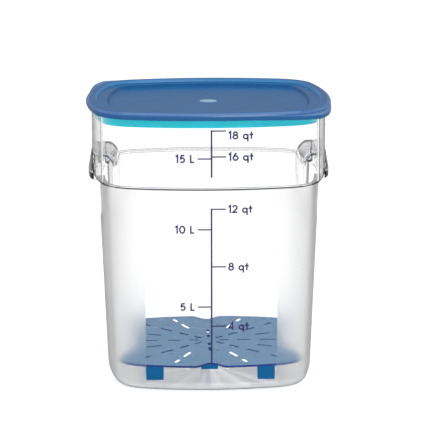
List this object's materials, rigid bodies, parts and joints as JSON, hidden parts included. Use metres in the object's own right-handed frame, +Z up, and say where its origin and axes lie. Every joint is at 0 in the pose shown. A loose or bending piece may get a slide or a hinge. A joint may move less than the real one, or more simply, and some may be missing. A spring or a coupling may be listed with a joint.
{
  "type": "square food storage tub",
  "caption": "Clear square storage tub with moulded side handles, printed volume scale, press-on lid with sealing ring and a slotted lift-out drain shelf.",
  "frame": {"origin": "centre of the tub's underside", "axes": "+Z up, front with the printed scale towards -Y, handles on -X and +X"},
  "size_m": [0.287, 0.287, 0.3284],
  "materials": {
    "clear_plastic": "clear, polished collar and window, satin lower walls",
    "lid_plastic": "translucent blue, fine satin",
    "seal_rubber": "smooth teal elastomer",
    "shelf_plastic": "translucent blue, satin"
  },
  "bodies": {
    "tub": {"tub": "clear_plastic"},
    "lid": {"lid": "lid_plastic", "lid_gasket": "seal_rubber"},
    "drain_shelf": {"drain_shelf": "shelf_plastic"}
  },
  "joints": [
    {"name": "lid_lift", "type": "slide", "parent": "tub", "child": "lid", "axis": [0, 0, 1], "range_m": [0, 0.15]},
    {"name": "shelf_lift", "type": "slide", "parent": "tub", "child": "drain_shelf", "axis": [0, 0, 1], "range_m": [0, 0.27]}
  ]
}
